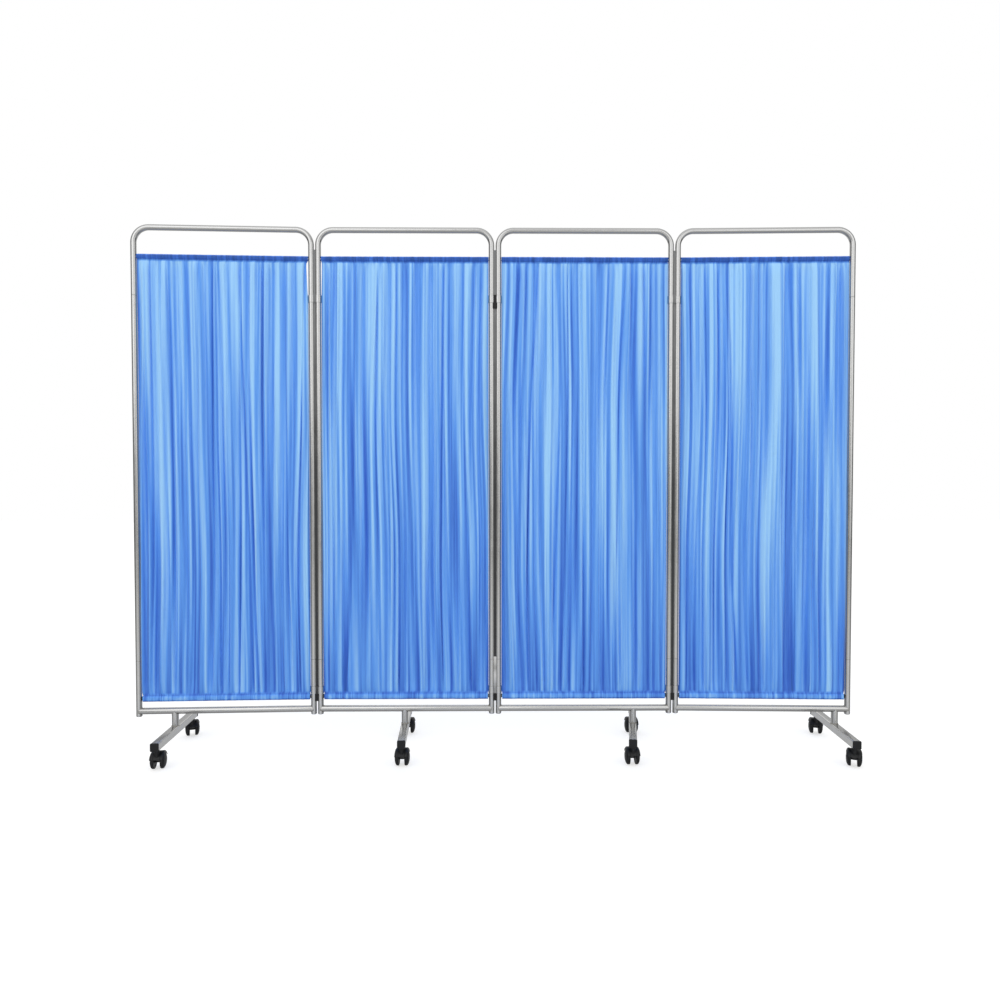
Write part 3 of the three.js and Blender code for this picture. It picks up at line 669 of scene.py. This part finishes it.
def foldField(number, x, z):
    # creases are narrow bell curves that drift, fade and merge with height, over broad and fine ripples.
    # It gives the depth of the cloth behind the panel's plane and a painted shade, darker in the creases and
    # paler on the ridges.
    random = np.random.default_rng(cloth["seed"] + number)
    x = x + 0.007 * valueNoise(random, x, z, 0.16, 0.5)
    spacing = random.uniform(0.5, 1.5, cloth["creases"])
    span = cloth["creaseSpan"]
    centres = (np.cumsum(spacing) - spacing / 2) / spacing.sum() * span - span / 2
    depth, paintedFoldShade = np.zeros_like(x), np.zeros_like(x)
    height = (z - 0.9) / 0.74
    for centre in centres:
        width, strength = random.uniform(0.0018, 0.0058), random.uniform(0.35, 1.0)
        lean, bow = random.normal(0, 0.008), random.normal(0, 0.004)
        phase, swing = random.uniform(0, 2 * np.pi), random.uniform(0.25, 0.6)
        side = 1 if random.random() < 0.66 else -1
        fade = strength * (1 - swing * (0.5 + 0.5 * np.sin(2.1 * height + phase)))
        offset = (x - centre - lean * height - bow * height**2) / width
        skew = offset / (1 + 0.35 * np.tanh(offset * random.choice([-1, 1])))
        bell = fade / (1 + skew**2)
        depth += side * bell
        # painted shade in the creases that fold back, and painted light on those that stand forward
        paintedFoldShade += (1 if side > 0 else -0.55) * fade * np.exp(-((skew / 1.5) ** 2))
    depth += 0.42 * valueNoise(random, x, z, 0.024, 0.42) + 0.2 * valueNoise(random, x, z, 0.0105, 0.26)
    paintedFoldShade = 0.34 + 0.34 * paintedFoldShade
    # random streaks of painted light and shade
    for amount, cellX, cellZ in cloth["shades"]:
        paintedFoldShade += amount * valueNoise(random, x, z, cellX, cellZ)
    return depth - depth.mean(axis=-1, keepdims=True), paintedFoldShade


def clothRows(number):
    # one row of points for each height, at equal lengths along the folded cloth. Folds open away from the
    # pocket and the hem; the tone adds up painted light and shade: the folds' painted shade, paler towards
    # the top as painted light from above, painted shadow along the posts, and painted shade at the pocket,
    # the hem and their seams.
    top, bottom, near = cloth["top"], cloth["bottom"], cloth["near"]
    pocketEnd, hemEnd = top - cloth["pocket"], bottom + cloth["hem"]
    channel = np.sin(np.linspace(-np.pi / 2, np.pi / 2, cloth["channelRows"])) * 0.5 + 0.5
    ease = np.linspace(0, 1, cloth["bodyRows"] + 2)[1:-1]
    ease = ease - 0.075 * np.sin(2 * np.pi * ease)
    hemLevels, pocketLevels = bottom + channel * cloth["hem"], pocketEnd + channel * cloth["pocket"]
    levels = np.concatenate([hemLevels, hemEnd + ease * (pocketEnd - hemEnd), pocketLevels])
    insetLeft, insetRight = edgeInsets[number]
    drop = np.clip((pocketEnd - levels) / cloth["hang"], 0, 1)
    hang = np.where(levels < pocketEnd, (1 - drop) ** 0.8, 0.0) * smoothStep(pocketEnd - levels, 0, 0.012)
    toHem = 1 - smoothStep(levels, hemEnd - 0.002, hemEnd + 0.014)
    edge = cloth["edgeAtPost"] + (cloth["edgeAtHem"] - cloth["edgeAtPost"]) * toHem
    leftEdge, rightEdge = (insetLeft * hang - edge)[:, None], (edge - insetRight * hang)[:, None]
    fine = np.linspace(0, 1, cloth["fineColumns"])
    x = leftEdge + (rightEdge - leftEdge) * fine
    z = np.broadcast_to(levels[:, None], x.shape)
    depth, paintedFoldShade = foldField(number, x, z)
    opening = np.minimum(smoothStep(pocketEnd - levels, 0, 0.05), smoothStep(levels - hemEnd, 0, 0.06)) ** 0.5
    inBody = (levels < pocketEnd - near) & (levels > hemEnd + near)
    amount = np.where(inBody, 0.12 + 0.88 * opening, 0.06)
    random = np.random.default_rng(cloth["seed"] + 10 * number)
    puckers = cloth["puckers"] * valueNoise(random, x, z, 0.0075, 0.03)
    nearChannel = np.exp(-np.abs(z - pocketEnd) / 0.02) + np.exp(-np.abs(z - hemEnd) / 0.02)
    depth = cloth["depth"] * np.tanh(cloth["foldGain"] * depth) * amount[:, None] + puckers * nearChannel
    pinch = smoothStep(x - leftEdge, 0, 0.006) * smoothStep(rightEdge - x, 0, 0.006)
    depth *= 0.35 + 0.65 * pinch
    steps = np.hypot(*(np.diff(field, axis=1, prepend=field[:, :1]) for field in (x, depth)))
    lengths = np.cumsum(steps, 1)
    shares = np.linspace(0, 1, cloth["columns"])
    columns = np.array([np.interp(shares * run[-1], run, fine) for run in lengths])
    pick = columns * (len(fine) - 1)
    low = np.minimum(pick.astype(int), len(fine) - 2)
    part = pick - low
    rowIndex = np.arange(len(levels))[:, None]

    def at(field):
        # the field at the picked columns, between its fine ones
        return field[rowIndex, low] * (1 - part) + field[rowIndex, low + 1] * part

    x, z, depth, paintedFoldShade, pinch = (at(field) for field in (x, z, depth, paintedFoldShade, pinch))
    half = np.full(len(levels), cloth["half"])
    for start, size in ((bottom, cloth["hem"]), (pocketEnd, cloth["pocket"])):
        across = np.clip((levels - start) / size, 0, 1)
        bulge = np.sqrt(np.maximum(1 - (2 * across - 1) ** 2, 0))
        inside = (levels >= start - near) & (levels <= start + size + near)
        half = np.where(inside, cloth["half"] + (cloth["channelHalf"] - cloth["half"]) * bulge, half)
    bodyShare = (pocketEnd - z) / (pocketEnd - hemEnd)
    aboveHem = np.abs(z - hemEnd)
    # painted shade: darker lower down, as painted light from above, and darker at the edges, as painted
    # shadow by the posts
    tone = paintedFoldShade + 0.34 * (bodyShare - 0.45) + 0.3 * (1 - pinch)
    # painted shade of the puckers just above the hem, and patchy painted light and shade along the pocket's
    # seam
    tone += 0.36 * np.exp(-aboveHem / 0.007) * (0.55 + 0.6 * valueNoise(random, x, z, 0.0055, 0.03))
    tone += 0.5 * np.exp(-np.abs(pocketEnd - z) / 0.009) * valueNoise(random, x, z, 0.006, 0.04)
    # crimp: patchy painted shade of the gathers in both channels
    crimp = 0.24 * valueNoise(random, x, z, 0.0036, 0.08)
    # the pocket: darker all over as painted shade where its doubled cloth lets no light through, with a band
    # of painted shadow from the rod inside it and a painted highlight along its top edge
    pocketTone = 1.08 + 0.24 * valueNoise(random, x, z, 0.009, 0.05) + crimp
    pocketTone += 0.3 * np.exp(-(((z - pocketEnd - 0.008) / 0.004) ** 2))
    pocketTone -= 0.45 * smoothStep(z - top + 0.005, 0, 0.005)
    # the hem: a middle tone with the gathers' painted shade, darker along its foot and at its seam as painted
    # shade
    hemTone = 0.52 + crimp + 0.3 * valueNoise(random, x, z, 0.011, 0.05)
    hemTone += 0.6 * smoothStep(bottom + 0.006 - z, 0, 0.005) + 0.35 * np.exp(-aboveHem / 0.003)
    tone = np.where(z > pocketEnd - near, pocketTone, np.where(z < hemEnd + near, hemTone, tone))
    folded = {"x": x, "z": z, "depth": depth, "half": half[:, None], "tone": np.clip(tone, 0, 1.5)}
    return folded, lengths[:, -1]


def curtainShell(folded, spot):
    # the front of the cloth and, beyond a rim, its back, as one closed grid that runs round both
    x, z, depth, half, tone = folded.values()
    front, back = (np.stack([x, depth + face * half, z], -1) for face in (-1, 1))
    tone = np.concatenate([tone, tone[:, ::-1]], 1)
    return skin(np.concatenate([front, back[:, ::-1]], 1), spot), tone


def stitchShell(folded, spot, height, face):
    # a thread that dips in and out of the cloth, once to a stitch, along a channel's seam
    row = int(np.argmin(np.abs(folded["z"][:, 0] - height)))
    x = folded["x"][row]
    span = np.linspace(x[6], x[-7], 1100)
    y = np.interp(span, x, folded["depth"][row])
    lift = cloth["stitchLift"] * np.cos(2 * np.pi * span / cloth["stitch"])
    level = np.full_like(span, folded["z"][row, 0])
    centres = np.stack([span, y + face * (cloth["half"] + lift), level], 1)
    across = unit(np.cross(unit(np.gradient(centres, axis=0)), upward))
    return skin(rings(centres, across, upward, np.full(len(span), cloth["threadRadius"]), 6), spot)


for n in numbers:
    spot, body = panelSpots[n], f"panel_{n}"
    folded, lengths = clothRows(n)
    shell, tone = curtainShell(folded, spot)
    name = f"curtain_{n}"
    curtain = makePiece(name, [shell], "cloth", body, [f"panel_{n}_curtain"], 180, {"paintedLightAndShade": tone})
    seams = [
        stitchShell(folded, spot, height, face)
        for height in (cloth["top"] - cloth["pocket"], cloth["bottom"] + cloth["hem"])
        for face in (-1, 1)
    ]
    stitching = makePiece(f"curtain_stitching_{n}", seams, "thread", body)
    print(name, "folded width", round(float(lengths.mean()), 3), "from", round(float(lengths.min()), 3))
print("curtains are made")

# Feet

feet = {
    "barSize": 0.025,
    "cornerRadius": 0.003,
    "wall": 0.0015,
    "edge": 0.0004,
    "halfLength": 0.168,
    "underside": 0.066,
    "stemRadius": 0.011,
    "stemSunk": 0.0006,
    "saddleRadius": 0.01105,
    "weldRadius": 0.0113,
    "weldHeight": 0.0911,
    "bead": (0.0013, 0.00022),  # the stem weld's radius and its ripple
    "beadRipples": 30,
    "capThickness": 0.005,
    "capOverhang": 0.0008,
    "capRounding": 0.0016,
    "capGap": 0.0003,
    "capPlug": 0.0068,
    "plugGap": 0.0008,
    "plugCorner": 0.0012,
}
barTop = feet["underside"] + feet["barSize"]
barMiddle = feet["underside"] + feet["barSize"] / 2


def squareRows(stations):
    # a rounded square at each station of (place along the bar, size, corner radius): four quarter circles,
    # in x and z, about the bar's middle
    along, size, radius = np.array(stations).T[..., None]
    angle = (np.arange(4)[:, None] * np.pi / 2 + np.linspace(0, np.pi / 2, 5)).ravel()
    quarter = np.repeat(np.arange(4) * np.pi / 2 + np.pi / 4, 5)
    inner = (size / 2 - radius) * math.sqrt(2)
    x = inner * np.cos(quarter) + radius * np.cos(angle)
    z = inner * np.sin(quarter) + radius * np.sin(angle) + barMiddle
    return np.stack([x, np.broadcast_to(along, x.shape), z], -1)


def barShell(spot):
    # a square tube, bevelled at both ends, and its bore
    size, radius, wall, half = feet["barSize"], feet["cornerRadius"], feet["wall"], feet["halfLength"]
    edge = feet["edge"]
    outside = [(half - edge, size, radius), (half, size - 2 * edge, radius - edge)]
    outside = [(-along, *square) for along, *square in outside[::-1]] + outside
    inside = [(end, size - 2 * wall, radius - wall) for end in (half, -half)]
    return skin(squareRows(outside + inside), spot, closed=True)


def stemShell(spot, panelSpot):
    # a tube with a coped top: its height is the rail's axis less the saddle's circle
    angle = around(48)

    def ring(radius, coped, drop=0.0):
        # a circle at the stem's foot, or on the cope and dropped from it
        x, y = radius * np.cos(angle), radius * np.sin(angle)
        cut = tubes["railHeight"] - np.sqrt(np.maximum(feet["saddleRadius"] ** 2 - y**2, 0)) - drop
        return np.stack([x, y, cut if coped else np.full_like(x, barTop - feet["stemSunk"])], 1)

    radius, edge = feet["stemRadius"], feet["edge"]
    bore = radius - feet["wall"]
    rows = [ring(radius, False), ring(radius, True, 0.0005), ring(radius - edge, True)]
    rows += [ring(bore, True), ring(bore, False)]
    return skin(rows, {**panelSpot, "origin": spot["origin"]}, closed=True)


def stemWeld(spot):
    # a fillet bead round the stem's foot, with the ripples of a hand weld
    angle = around(120)
    outward = np.stack([np.cos(angle), np.sin(angle), angle * 0], 1)
    radius, ripple = feet["bead"]
    radii = radius + ripple * np.sin(angle * feet["beadRipples"])
    centres = feet["weldRadius"] * outward + feet["weldHeight"] * upward
    return skin(rings(centres, outward, upward, radii, 10), spot, closed=True)


def capShell(spot, side):
    # a plug inside the bar, then a flange whose outer edge is rounded and whose face is slightly domed
    face, rounding, corner = feet["halfLength"] + feet["capGap"], feet["capRounding"], feet["plugCorner"]
    size, radius = feet["barSize"] + 2 * feet["capOverhang"], feet["cornerRadius"] + feet["capOverhang"]
    plug, start = feet["barSize"] - 2 * feet["wall"] - feet["plugGap"], face - feet["capPlug"]
    stations = [(start, plug - 0.0016, corner), (start + 0.001, plug, corner), (face, plug, corner)]
    stations += [(face, size - 0.0004, radius - 0.0002), (face + 0.0003, size, radius)]
    end = face + feet["capThickness"]
    for angle in np.linspace(0, np.pi / 2, 6):
        back, inset = rounding * (1 - math.sin(angle)), rounding * (1 - math.cos(angle))
        stations.append((end - back - 0.0003, size - 2 * inset, radius - 0.6 * inset))
    stations += [(end - 0.0001, size * 0.6, radius * 0.6), (end, size * 0.2, radius * 0.2)]
    return skin(squareRows(stations) * [1, side, 1], spot)


for n in numbers:
    between = spotBetween(boxMiddle(f"foot_{n}_end_cap_front"), boxMiddle(f"foot_{n}_end_cap_rear"))
    spot = {"origin": between["origin"], "along": -between["back"], "back": between["along"]}
    body = f"panel_{n}"
    makePiece(f"t_foot_{n}", [barShell(spot), stemShell(spot, panelSpots[n])], "tube", body, [f"foot_{n}"])
    makePiece(f"stem_weld_{n}", [stemWeld(spot)], "weld", body)
    for end, side in (("front", -1), ("rear", 1)):
        capName = f"foot_{n}_end_cap_{end}"
        makePiece(f"end_cap_{n}_{end}", [capShell(spot, side)], "plastic", body, [capName])
print("feet are made")

# Castors

castor = {
    "wheelRadius": 0.025,
    "gap": 0.018,
    "tread": 0.006,
    "groove": 0.0004,
    "dome": 0.009,
    "axleRadius": 0.0025,
    "trail": 0.017,
    "hoodRadius": 0.03,
    "hoodWall": 0.0022,
    "hoodEdge": 0.0162,
    "hoodDome": 0.0097,
    "hoodGroove": 0.0007,
    "innerEdge": 0.0155,
    "skirtRadius": 0.02,
    "frontAngle": 20,
    "rearAngle": 142,
    "webHalf": 0.0085,
    "bossRadius": 0.0062,
    "neckRadius": 0.008,
    "neckFoot": (0.0405, 0.043),
    "neckStep": 0.0012,
    "neckTop": 0.0657,
    "pivotRadius": 0.005,
    "pivotTop": 0.084,
}


def wheelShell(axle, side):
    # the hollow inner face, the tread with a fine groove, and the dome: an ellipse, less the depth of each
    # (radius, depth) under it, with grooves round its disc and its hub cap
    radius, inner, dome = castor["wheelRadius"], castor["gap"] / 2, castor["dome"]
    edge, sunk, groove = inner + castor["tread"], castor["groove"], inner + 0.0034
    hollow = [(0.0026, 0.0002), (0.0072, 0), (0.0078, 0.0016), (0.0205, 0.0016), (0.0216, 0.0002)]
    hollow += [(0.0238, 0), (0.0247, 0.0006), (radius, 0.0016)]
    profile = [(r, inner + depth) for r, depth in hollow]
    profile += [(radius, groove - sunk), (radius - sunk, groove), (radius, groove + sunk)]
    profile += [(radius, edge - 0.0008)]
    steps = [(r, 0.0001) for r in (0.0249, 0.0246, 0.0238, 0.0225, 0.021, 0.0196)]
    steps += [(0.0193, 0.0008), (0.0187, 0.0008)] + [(r, 0) for r in (0.0184, 0.017, 0.0145, 0.012, 0.0098)]
    steps += [(0.0094, 0.0007), (0.0088, 0.0007), (0.0085, 0.0001), (0.006, 0), (0.003, 0)]
    profile += [(r, edge + dome * math.sqrt(1 - (r / radius) ** 2) - depth) for r, depth in steps]
    profile += [(0.0005, edge + dome)]
    rows = turned(np.array(profile) * [1, side], rightward, 64)
    return skin(rows, axle)


def axleShell(axle):
    # a plain pin that reaches 2 mm into both wheels
    end = castor["gap"] / 2 + 0.002
    rows = turned([(castor["axleRadius"], -end), (castor["axleRadius"], end)], rightward, 24)
    return skin(rows, axle)


def domeLine(radius, edge, depth, steps):
    # an ellipse from the crown's edge down to where the side ends, as (radius, place along the axle)
    angle = np.linspace(0, math.acos(castor["skirtRadius"] / radius), steps)
    return np.stack([radius * np.cos(angle), edge + depth * np.sin(angle)], 1)


def aboutAxle(section, angles):
    # a section of (radius, place along the axle) carried about the axle
    radius, along = section[:, 0], section[:, 1]
    turn = np.radians(angles)[:, None]
    y = castor["trail"] - radius * np.cos(turn)
    z = castor["wheelRadius"] + radius * np.sin(turn)
    return np.stack([np.broadcast_to(along, y.shape), y, z], -1)


def hoodShell(spot):
    # the outer dome with a groove on both sides of its front plate, a rounded lip, and the inner dome
    rim, wall = castor["hoodRadius"], castor["hoodWall"]
    sunk = rim - castor["hoodGroove"]
    crown = [(rim, 0.0), (rim, 0.0096), (sunk, 0.0101), (sunk, 0.0107), (rim, 0.0112), (rim, 0.0142)]
    outer = np.concatenate([crown, domeLine(rim, castor["hoodEdge"], castor["hoodDome"], 12)])
    inner = domeLine(rim - wall, castor["innerEdge"], castor["dome"], 10)
    lip = (outer[-1] + inner[-1]) / 2 - [0.0006, 0]
    half = np.concatenate([outer, [lip], inner[::-1]])
    section = np.concatenate([half, half[::-1][:-1] * [1, -1]])
    angles = np.linspace(castor["rearAngle"], castor["frontAngle"], 44)
    rows = aboutAxle(section, angles)
    # its two end sections are slightly narrower
    middle = aboutAxle(np.array([[rim - wall / 2, 0.0]]), angles[[0, -1]])
    rows[[0, -1]] = middle + (rows[[0, -1]] - middle) * [0.985, 1, 1]
    return skin(rows, spot)


def webShell(spot):
    # a sector about the axle with rounded edges, between the wheels
    half, reach = castor["webHalf"], castor["hoodRadius"] - castor["hoodWall"] / 2
    front, rear = castor["frontAngle"], castor["rearAngle"]
    rim = aboutAxle(np.array([[reach, 0.0]]), np.linspace(rear - 1, front + 1, 36))[:, 0]
    boss = np.array([[castor["bossRadius"], 0.0]])
    boss = aboutAxle(boss, np.linspace(front - 20, rear - 340, 20))[:, 0]
    outline = np.concatenate([rim, boss])
    centre = outline.mean(0)
    stations = ((-half, 0.94), (0.0008 - half, 0.985), (0.002 - half, 1))
    rows = np.array([centre + (outline - centre) * shrink + x * rightward for x, shrink in stations])
    return skin(np.concatenate([rows, rows[::-1] * [-1, 1, 1]]), spot)


def neckShell(spot):
    # the neck with a step and a rounded collar under the bar, and the pivot that runs up inside it
    top, radius, (foot, full) = castor["neckTop"], castor["neckRadius"], castor["neckFoot"]
    waist, pivot, pivotTop = radius - castor["neckStep"], castor["pivotRadius"], castor["pivotTop"]
    profile = [(radius - 0.0004, foot), (radius, full), (radius, top - 0.0048), (waist, top - 0.0044)]
    profile += [(waist, top - 0.0034), (radius, top - 0.003), (radius, top - 0.0005), (radius - 0.0005, top)]
    profile += [(pivot, top), (pivot, pivotTop - 0.001), (pivot - 0.001, pivotTop)]
    return skin(turned(profile, upward, 36), spot)


for n in numbers:
    for end in ("front", "rear"):
        key = f"{n}_{end}"
        swivel, spin = jointPlaces[f"castor_{key}_swivel"], jointPlaces[f"wheels_{key}_spin"]
        spot = spotAlong(np.array(swivel["pos_m"]), np.array(spin["axis"], float))
        hood = [hoodShell(spot), webShell(spot), neckShell(spot)]
        makePiece(f"castor_hood_{key}", hood, "plastic", f"castor_{key}", [f"castor_{key}_hood"])
        axle = shifted(spot, y=castor["trail"], z=castor["wheelRadius"])
        wheels = [wheelShell(axle, -1), wheelShell(axle, 1), axleShell(axle)]
        makePiece(f"castor_wheels_{key}", wheels, "wheel", f"wheels_{key}", [f"castor_{key}_wheels"])
print("castors are made")

# Hinge links

hinge = {
    "halfPitch": 0.0115,
    "clearance": 0.0003,
    "bottom": 0.168,
    "top": 1.675,
    "halfDepth": 0.005,
    "prismEnd": (0.0006, 0.94),  # how high its bevel is, and its narrow end's share
    "bandHeight": 0.024,
    "bandWall": 0.0012,
    "bandEdge": 0.0003,
    "bands": (0.193, 1.501),
    "waist": 0.0062,
    "coverDepth": 0.0072,
    "coverRim": 0.001,  # how far a cover stands past its band, above and below
    "spacerDepth": 0.0082,
    "spacer": (0.1682, 0.1918),
    "middleBlock": (1.482, 1.5265),
    "middleDepth": 0.009,
    "middlePlate": (0.1945, 0.3175),  # steel, in front of the middle gap's strip
}


def raised(outline, height):
    # an outline in plan, at that height
    return np.concatenate([outline, np.full((len(outline), 1), height)], 1)


def hollowPrism(spot, halfDepth, bottom, top):
    # in plan two hollow arcs about the posts, facing each other; carried up, with slightly narrower ends
    reachIn = tubes["radius"] + hinge["clearance"]
    spread = math.asin(halfDepth / reachIn)
    angle = np.linspace(-spread, spread, 13)
    left = np.stack([-hinge["halfPitch"] + reachIn * np.cos(angle), reachIn * np.sin(angle)], 1)
    outline = np.concatenate([left, left[::-1] * [-1, 1]])
    edge, narrow = hinge["prismEnd"]
    stations = ((bottom, narrow), (bottom + edge, 1), (top - edge, 1), (top, narrow))
    return skin([raised(outline * scale, height) for height, scale in stations], spot)


def bandOutline(radius, waist):
    # a figure of eight: most of a circle about each post, and a flat waist between them
    start = math.asin(waist / radius)
    angle = np.linspace(math.pi - start, -(math.pi - start), 40)
    right = np.stack([hinge["halfPitch"] + radius * np.cos(angle), radius * np.sin(angle)], 1)
    return np.concatenate([right, -right])


def bandShell(spot, bottom):
    # a bent strip of even wall, bevelled outside
    top, edge = bottom + hinge["bandHeight"], hinge["bandEdge"]
    inner = tubes["radius"] + hinge["clearance"]
    outer = inner + hinge["bandWall"]
    stations = [(outer - edge, bottom), (outer, bottom + edge), (outer, top - edge), (outer - edge, top)]
    stations += [(inner, top), (inner, bottom)]
    waist = hinge["waist"] - outer
    rows = [raised(bandOutline(radius, waist + radius), height) for radius, height in stations]
    return skin(rows, spot, closed=True)


for pair in ("12", "23", "34"):
    a, b = (panelSpots[int(digit)] for digit in pair)
    toPost = tubes["halfSpacing"] * rightward
    leftPost, rightPost = place(toPost, a), place(-toPost, b)
    spot, body, node = spotBetween(leftPost, rightPost), f"link_{pair}", f"hinge_link_{pair}"
    strip = [hollowPrism(spot, hinge["halfDepth"], hinge["bottom"], hinge["top"])]
    bands = [bandShell(spot, bottom) for bottom in hinge["bands"]]
    spacers = [hollowPrism(spot, hinge["spacerDepth"], *hinge["spacer"])]
    if pair == "23":
        bands.append(hollowPrism(spot, hinge["coverDepth"], *hinge["middlePlate"]))
        spacers.append(hollowPrism(spot, hinge["middleDepth"], *hinge["middleBlock"]))
    else:
        for bottom in hinge["bands"]:
            low, high = bottom - hinge["coverRim"], bottom + hinge["bandHeight"] + hinge["coverRim"]
            strip.append(hollowPrism(spot, hinge["coverDepth"], low, high))
    makePiece(f"hinge_strip_{pair}", strip, "strip", body, [node])
    makePiece(f"hinge_bands_{pair}", bands, "tube", body, [node])
    makePiece(f"hinge_spacers_{pair}", spacers, "plastic", body)
print("hinge links are made")
